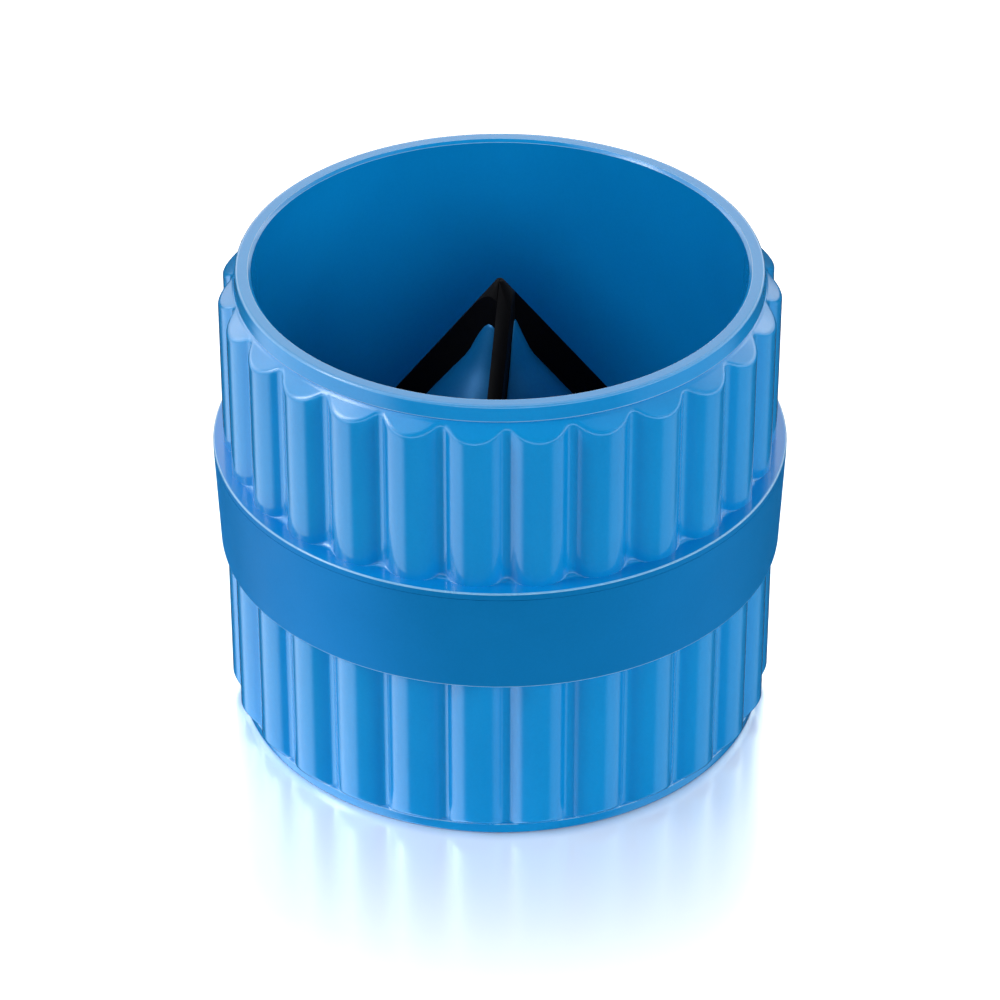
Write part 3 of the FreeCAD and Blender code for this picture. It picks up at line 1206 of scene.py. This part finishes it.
@dataclass
class BladeCarrier(Piece):
    """Cone with a skirt, parted by the blade slots into three walls under one ring."""

    node: str = "blade_carrier"
    title: str = "Carrier_cone"
    finish: MouldedPlastic = SHADED_CARRIER_BLUE
    slot: Slot = Slot.CARRIER
    wall_count: int = 3
    turn: float = 260.0
    edge_slope: float = 1.34615
    web_apex: float = 44.019
    web_inner_apex: float = 39.994
    hub_apex: float = 47.876
    hub_reach: float = 3.2
    skirt_bore: float = 23.45
    skirt_radius: float = 24.65
    skirt_top: float = 20.182
    skirt_bottom: float = 6.05
    slot_top: float = 17.532
    slot_front: float = 0.05
    slot_back: float = 1.45
    slot_round: float = 0.16
    skirt_top_round: float = 0.3
    ring_round: float = 0.05
    hub_blend: float = 0.6
    dowel_radius: float = 0.62
    dowel_station: float = 18.5
    dowel_height: float = 17.104
    drilling_start: float = -1.55
    ring_columns: int = 540
    edge_columns: int = 4
    fan_columns: int = 56
    cone_rows: int = 30
    row_crowding: float = 1.4
    under_stride: int = 3
    drilling_sides: int = 24

    @property
    def slant(self) -> float:
        """Length of the cone's side for each unit of radius."""
        return math.hypot(1.0, self.edge_slope)

    def cone_top(self, radius: np.ndarray, inset: float) -> np.ndarray:
        """Return the height of the cone's outside, hub included.

        Args:
            radius: distance from the axis.
            inset: how far the surface lies below its full size.

        Returns:
            Heights in millimetres.
        """
        web = self.web_apex - self.edge_slope * radius
        hub_foot = self.web_apex - self.edge_slope * self.hub_reach
        hub = self.hub_apex + (hub_foot - self.hub_apex) * radius / self.hub_reach
        return smooth_max(web, hub, self.hub_blend) - inset * self.slant

    def column_lines(self) -> list[tuple[np.ndarray, np.ndarray, float]]:
        """Return the lines that a wall's columns follow outwards, from slot to slot.

        The first and last few run along the slots to round their edges, the rest fan out between.

        Returns:
            For each column its start, its direction, and how far its edges are inset.
        """
        pitch = 2 * math.pi / self.wall_count
        ahead = np.array([1.0, 0.0])
        across = np.array([0.0, 1.0])
        far = np.array([math.cos(pitch), math.sin(pitch)])
        far_across = np.array([-math.sin(pitch), math.cos(pitch)])
        sides: list[tuple[np.ndarray, float]] = []
        for share in np.linspace(0.0, 1.0, self.edge_columns):
            offset = self.slot_round * (1.0 - math.cos(share * math.pi / 2))
            inset = self.slot_round * (1.0 - math.sin(share * math.pi / 2))
            facing = np.array([across, far_across])
            gaps = np.array([self.slot_back + offset, -self.slot_front - offset])
            start = np.linalg.solve(facing, gaps)
            sides.append((start, inset))
        fan = [
            (sides[-1][0], np.array([math.cos(angle), math.sin(angle)]), 0.0)
            for angle in np.linspace(0.0, pitch, self.fan_columns)
        ]
        near_side = [(start, ahead, inset) for start, inset in sides[:-1]]
        far_side = [(start, far, inset) for start, inset in reversed(sides[:-1])]
        return near_side + fan + far_side

    def column(self, start: np.ndarray, direction: np.ndarray, inset: float) -> np.ndarray:
        """Return one column's closed section.

        Args:
            start: where the column starts, seen from above.
            direction: the unit direction that it follows.
            inset: how far its edges lie inside the full section.

        Returns:
            An array of (x, y, height) rows.
        """
        along = float(start @ direction)

        def reach(radius: float) -> float:
            """Return how far along the line a circle about the axis is met."""
            return -along + math.sqrt(along**2 - float(start @ start) + radius**2)

        bore, outside = self.skirt_bore + inset, self.skirt_radius - inset
        shares = np.linspace(0.0, 1.0, self.cone_rows) ** self.row_crowding
        top_steps = reach(bore) * shares
        top_plan = start + top_steps[:, None] * direction
        top = self.cone_top(np.linalg.norm(top_plan, axis=1), inset)
        skirt = [
            (bore, (top[-1] + self.slot_top) / 2),
            (bore, self.slot_top - inset),
            (outside, self.slot_top - inset),
            (outside, self.skirt_bottom + inset),
            (bore, self.skirt_bottom + inset),
        ]
        skirt_plan = np.array([start + reach(radius) * direction for radius, _ in skirt])
        under_plan = top_plan[:: -self.under_stride]
        under_radius = np.linalg.norm(under_plan, axis=1)
        under = self.web_inner_apex - self.edge_slope * under_radius + inset * self.slant
        plan = np.vstack([top_plan, skirt_plan, under_plan])
        heights = np.concatenate([top, [height for _, height in skirt], under])
        return np.column_stack([plan, heights])

    def wall(self) -> tuple[np.ndarray, Faces]:
        """Return one wall between two slots, as if its first blade lay along +X.

        Returns:
            The wall's points and faces.
        """
        columns = [self.column(*line) for line in self.column_lines()]
        rows = len(columns[0])
        first_end = tuple(range(rows))
        last_end = tuple((len(columns) - 1) * rows + row for row in first_end)
        sides = ring_faces(len(columns), rows)[:-rows]
        return np.vstack(columns), sides + [first_end[::-1], last_end]

    def ring(self) -> tuple[np.ndarray, Faces]:
        """Return the skirt's uncut ring above the slots.

        Returns:
            The ring's points and faces.
        """
        path = rounded_path([
            (self.skirt_bore, (self.slot_top + self.skirt_top) / 2, 0.0),
            (self.skirt_bore, self.slot_top, self.ring_round),
            (self.skirt_radius, self.slot_top, self.ring_round),
            (self.skirt_radius, self.skirt_top, self.ring_round),
            (self.skirt_bore, self.skirt_top, self.skirt_top_round),
            (self.skirt_bore, self.skirt_top - 3.0 * self.skirt_top_round, 0.0),
        ], arc_steps=6)[::-1]
        angles = np.linspace(0.0, 2 * math.pi, self.ring_columns, endpoint=False)
        return turned_ring(angles, path[:, 0], path[:, 1])

    def drilling(self) -> bpy.types.Object:
        """Build the cutter for a wall's dowel drilling, as if its first blade lay along +X.

        Returns:
            The cutter's object.
        """
        steps = self.drilling_sides
        angles = np.linspace(0.0, 2 * math.pi, steps, endpoint=False)
        x = self.dowel_station + self.dowel_radius * np.cos(angles)
        z = self.dowel_height + self.dowel_radius * np.sin(angles)
        stations = (self.drilling_start, self.dowel_station)
        ends = [np.column_stack([x, np.full(steps, y), z]) for y in stations]
        faces = [(i, (i + 1) % steps, steps + (i + 1) % steps, steps + i) for i in range(steps)]
        faces += [tuple(range(steps)), tuple(range(steps, 2 * steps))]
        return add_mesh("Drilling", np.vstack(ends), faces)

    def drilled_wall(self) -> tuple[np.ndarray, Faces]:
        """Return one wall with its dowel drilling cut.

        Returns:
            The wall's points and faces.
        """
        wall = add_mesh("Wall", *self.wall())
        cutter = self.drilling()
        cut = wall.modifiers.new("Drilling", "BOOLEAN")
        cut.operation = "DIFFERENCE"
        cut.solver = "EXACT"
        cut.object = cutter
        graph = bpy.context.evaluated_depsgraph_get()
        mesh = bpy.data.meshes.new_from_object(wall.evaluated_get(graph))
        points = np.array([corner.co[:] for corner in mesh.vertices]) / MM
        faces = [tuple(face.vertices) for face in mesh.polygons]
        bpy.data.objects.remove(wall)
        bpy.data.objects.remove(cutter)
        return points, faces

    def shape(self) -> bpy.types.Object:
        """Build the three walls and the ring over them as one object.

        Returns:
            The carrier's object.
        """
        wall_points, wall_faces = self.drilled_wall()
        points, faces = self.ring()
        for wall in range(self.wall_count):
            turn = math.radians(self.turn) + 2 * math.pi / self.wall_count * wall
            x = wall_points[:, 0] * math.cos(turn) - wall_points[:, 1] * math.sin(turn)
            y = wall_points[:, 0] * math.sin(turn) + wall_points[:, 1] * math.cos(turn)
            faces += [tuple(corner + len(points) for corner in face) for face in wall_faces]
            points = np.vstack([points, np.column_stack([x, y, wall_points[:, 2]])])
        return add_mesh(self.title, points, faces)


@dataclass
class CuttingSet:
    """The blades and their dowels, which are the frame's own pieces with eased edges."""

    blade_count: int = 3
    blade_ease: float = 0.05
    dowel_ease: float = 0.08
    ease_steps: int = 2
    weld_distance: float = 0.002

    def ease(self, node: bpy.types.Object, width: float) -> None:
        """Join a node's split corners and ease its sharp edges.

        Args:
            node: the frame's object.
            width: width of the eased edge.
        """
        weld = node.modifiers.new("Joined corners", "WELD")
        weld.merge_threshold = self.weld_distance * MM
        bevel = node.modifiers.new("Eased edges", "BEVEL")
        bevel.width = width * MM
        bevel.segments = self.ease_steps
        bevel.limit_method = "ANGLE"
        bevel.angle_limit = math.radians(12.0)
        bevel.harden_normals = True

    def dress(self, name: str, width: float, finish: ToolSteel) -> None:
        """Ease and dress one of the frame's pieces.

        Args:
            name: the node's name.
            width: width of its eased edges.
            finish: its finish.
        """
        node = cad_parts[name]
        node.data.materials.clear()
        node.data.materials.append(finish.material())
        self.ease(node, width)
        log.info("%s: %s", name, finish.name)

    def build(self) -> None:
        """Dress every blade and dowel."""
        for i in range(self.blade_count):
            self.dress(f"blade_{i + 1}", self.blade_ease, BLACK_STEEL)
            self.dress(f"blade_dowel_{i + 1}", self.dowel_ease, BRIGHT_STEEL)


# ---- Studio ------------------------------------------------------------------------------------


class SoftboxGlow(Effect):
    """Glow of an upright softbox seen from the tool, soft at its edges."""

    name = "Softbox glow"
    inputs = (
        Port("Direction", "NodeSocketVector"),
        Port("Facing", "NodeSocketVector"),
        Port("Edge", default=0.5),
        Port("Core", default=0.8),
        Port("Foot", default=-1.0),
        Port("Head", default=1.0),
    )
    outputs = (Port("Glow"),)
    fade: float = 0.12

    def lay_out(self, tree: Tree, entry: Node) -> dict[str, Socket]:
        """Lay out the glow.

        Args:
            tree: the group's tree.
            entry: its input node.

        Returns:
            The glow's socket, from 0 to 1.
        """
        parts = tree.add("ShaderNodeSeparateXYZ", {0: entry.outputs["Direction"]})
        flat = tree.add("ShaderNodeCombineXYZ", {"X": parts.outputs[0], "Y": parts.outputs[1]})
        level = tree.add("ShaderNodeVectorMath", {0: flat.outputs[0]}, operation="NORMALIZE")
        cosine = tree.vector("DOT_PRODUCT", level.outputs[0], entry.outputs["Facing"])
        across = tree.ramp(cosine, entry.outputs["Edge"], entry.outputs["Core"])
        height = parts.outputs[2]
        above_foot = tree.math("SUBTRACT", height, entry.outputs["Foot"])
        below_head = tree.math("SUBTRACT", entry.outputs["Head"], height)
        upright = tree.ramp(tree.math("MINIMUM", above_foot, below_head), 0.0, self.fade)
        return {"Glow": tree.math("MULTIPLY", across, upright)}


@dataclass(frozen=True)
class Softbox:
    """An upright softbox that shows only in reflections.

    azimuth is 0 towards the camera's side and grows towards +X; half_width and softness are the
    half angle that it covers and the angle over which it fades.
    """

    azimuth: float
    half_width: float
    softness: float
    brightness: float
    colour: Colour = (1.0, 1.0, 1.0)
    foot: float = -1.2
    head: float = 1.2

    @property
    def facing(self) -> tuple[float, float, float]:
        """Level unit direction towards the softbox."""
        angle = math.radians(self.azimuth)
        return math.sin(angle), -math.cos(angle), 0.0

    @property
    def edge(self) -> float:
        """Cosine off its facing at which it has faded out, a little below what is possible."""
        return math.cos(math.radians(self.half_width + self.softness)) - 0.02

    @property
    def core(self) -> float:
        """Cosine off its facing at which it is fully bright."""
        return math.cos(math.radians(self.half_width)) - 0.01


@dataclass(frozen=True)
class StudioLight:
    """An area light aimed at the tool."""

    name: str
    place: tuple[float, float, float]
    size: tuple[float, float]
    power: float
    colour: Colour = (1.0, 1.0, 1.0)
    only_reflected: bool = False

    def build(self, target: Vector) -> None:
        """Place the light.

        Args:
            target: the point in metres that it is aimed at.
        """
        data = bpy.data.lights.new(self.name, "AREA")
        data.shape = "RECTANGLE"
        data.size, data.size_y = self.size
        data.energy = self.power
        data.color = self.colour
        lamp = bpy.data.objects.new(self.name, data)
        lamp.location = self.place
        lamp.rotation_euler = (target - lamp.location).to_track_quat("-Z", "Y").to_euler()
        lamp.visible_glossy = self.only_reflected
        lamp.visible_diffuse = not self.only_reflected
        bpy.context.scene.collection.objects.link(lamp)


@dataclass
class Studio:
    """Pale floor, soft light and camera.

    The floor glows a little for the camera, less within contact_shadow_start..contact_shadow_end of
    the axis as a painted contact shadow, and mirrors the tool with mirror_share at mirror_start,
    fading to none at mirror_end.
    """

    camera_place: tuple[float, float, float] = (0.0, -0.36969, 0.27286)
    camera_dip: float = 0.596
    lens: float = 156.57
    sensor: float = 36.0
    floor_size: float = 6.0
    floor_colour: Colour = (0.86, 0.86, 0.86)
    floor_glow: float = 0.98
    floor_gap: float = 0.02
    contact_shadow_start: float = 26.6
    contact_shadow_end: float = 28.4
    contact_shadow_glow: float = 0.25
    mirror_start: float = 27.0
    mirror_end: float = 80.0
    mirror_share: float = 0.64
    mirror_colour: Colour = (0.86, 1.0, 0.98)
    mirror_roughness: float = 0.22
    backdrop: float = 1.0
    ambient: float = 0.26
    gloss_ambient: float = 0.03
    exposure: float = 0.0
    softboxes: tuple[Softbox, ...] = (
        Softbox(-84.0, half_width=24.0, softness=22.0, brightness=2.15, colour=(0.62, 0.78, 1.0)),
        Softbox(84.0, half_width=16.0, softness=20.0, brightness=0.8, colour=(0.5, 0.75, 1.0)),
        Softbox(180.0, half_width=60.0, softness=25.0, brightness=1.65, foot=0.2),
        Softbox(0.0, half_width=180.0, softness=0.0, brightness=1.5, foot=-0.02, head=0.46),
    )
    lights: tuple[StudioLight, ...] = (
        StudioLight("Key", (-0.60, -0.14, 0.50), (0.20, 0.36), 2.2),
        StudioLight("Glint", (-0.60, -0.14, 0.50), (0.20, 0.36), 6.0, only_reflected=True),
        StudioLight("Fill", (0.60, -0.35, 0.30), (0.35, 0.45), 2.0),
        StudioLight("Front", (0.0, -0.85, 0.35), (0.6, 0.4), 1.4),
        StudioLight("Top", (0.0, 0.05, 0.80), (0.5, 0.5), 0.8),
    )

    def floor(self) -> None:
        """Lay a pale polished floor that mirrors the tool faintly and only close to it."""
        half = self.floor_size / 2 / MM
        plan = ((-half, -half), (half, -half), (half, half), (-half, half))
        corners = np.array([(x, y, -self.floor_gap) for x, y in plan])
        made = add_mesh("Floor", corners, [(0, 1, 2, 3)])
        made.visible_glossy = False
        material = bpy.data.materials.new("Pale polished floor")
        material.use_nodes = True
        tree = Tree(material.node_tree)
        place = tree.position()
        distance = tree.add("ShaderNodeVectorMath", {0: place}, operation="LENGTH").outputs["Value"]
        reach = self.mirror_start * MM, self.mirror_end * MM
        near = tree.ramp(distance, *reach, start=self.mirror_share, end=0.0)
        seen = tree.add("ShaderNodeLightPath").outputs["Is Camera Ray"]
        # Painted contact shadow: the camera glow dims in a ring just outside the foot.
        reach = self.contact_shadow_start * MM, self.contact_shadow_end * MM
        painted_contact_shadow = tree.ramp(distance, *reach, start=self.contact_shadow_glow)
        strength = tree.math("MULTIPLY", tree.math("MULTIPLY", seen, self.floor_glow), painted_contact_shadow)
        glow = tree.add("ShaderNodeEmission", {"Strength": strength})
        diffuse = tree.add("ShaderNodeBsdfDiffuse", {"Color": (*self.floor_colour, 1.0)})
        matte = tree.add("ShaderNodeAddShader", {0: diffuse.outputs[0], 1: glow.outputs[0]})
        mirror = tree.add(
            "ShaderNodeBsdfGlossy",
            {"Color": (*self.mirror_colour, 1.0), "Roughness": self.mirror_roughness},
        )
        both = tree.mix_shader(near, matte.outputs[0], mirror.outputs[0])
        tree.add("ShaderNodeOutputMaterial", {"Surface": both})
        made.data.materials.append(material)

    def world(self) -> None:
        """Make a white surround, with upright softboxes that show only in reflections."""
        world = bpy.data.worlds.new("Studio")
        bpy.context.scene.world = world
        world.use_nodes = True
        world.cycles.sampling_method = "NONE"
        tree = Tree(world.node_tree)
        direction = tree.add("ShaderNodeTexCoord").outputs["Generated"]
        base = (self.gloss_ambient,) * 3
        glow: Socket = tree.add("ShaderNodeCombineXYZ", dict(enumerate(base))).outputs[0]
        for box in self.softboxes:
            placed = SoftboxGlow().place(
                tree,
                Direction=direction,
                Facing=box.facing,
                Edge=box.edge,
                Core=box.core,
                Foot=box.foot,
                Head=box.head,
            )
            tint = tuple(part * box.brightness for part in box.colour)
            links = {0: tint, "Scale": placed.outputs["Glow"]}
            lit = tree.add("ShaderNodeVectorMath", links, operation="SCALE").outputs[0]
            glow = tree.vector("ADD", glow, lit)
        rays = tree.add("ShaderNodeLightPath")
        seen = tree.background(WHITE, self.backdrop)
        mirrored = tree.background(glow, 1.0)
        soft = tree.background(WHITE, self.ambient)
        indirect = tree.mix_shader(rays.outputs["Is Glossy Ray"], soft, mirrored)
        whole = tree.mix_shader(rays.outputs["Is Camera Ray"], indirect, seen)
        tree.add("ShaderNodeOutputWorld", {"Surface": whole})

    def camera(self) -> None:
        """Set up the camera, looking down at the front of the tool."""
        data = bpy.data.cameras.new("Camera")
        data.lens = self.lens
        data.sensor_width = self.sensor
        data.clip_start = 0.01
        made = bpy.data.objects.new("Camera", data)
        made.location = self.camera_place
        made.rotation_euler = (math.pi / 2 - self.camera_dip, 0.0, 0.0)
        bpy.context.scene.collection.objects.link(made)
        bpy.context.scene.camera = made

    def build(self) -> None:
        """Build the floor, the surround, the lights and the camera."""
        self.floor()
        self.world()
        target = (CAD_BOX[0] + CAD_BOX[1]) / 2
        for light in self.lights:
            light.build(target)
        self.camera()
        view = bpy.context.scene.view_settings
        view.view_transform = "Standard"
        view.look = "None"
        view.exposure = self.exposure


def main() -> None:
    """Build the tool from the foot up, then the studio round it."""
    logging.basicConfig(level=logging.INFO, format="%(message)s")
    for piece in (LowerBarrel(), UpperBarrel(), CentreBand(), BladeCarrier()):
        piece.build()
    CuttingSet().build()
    Studio().build()


if __name__ == "__main__":
    main()
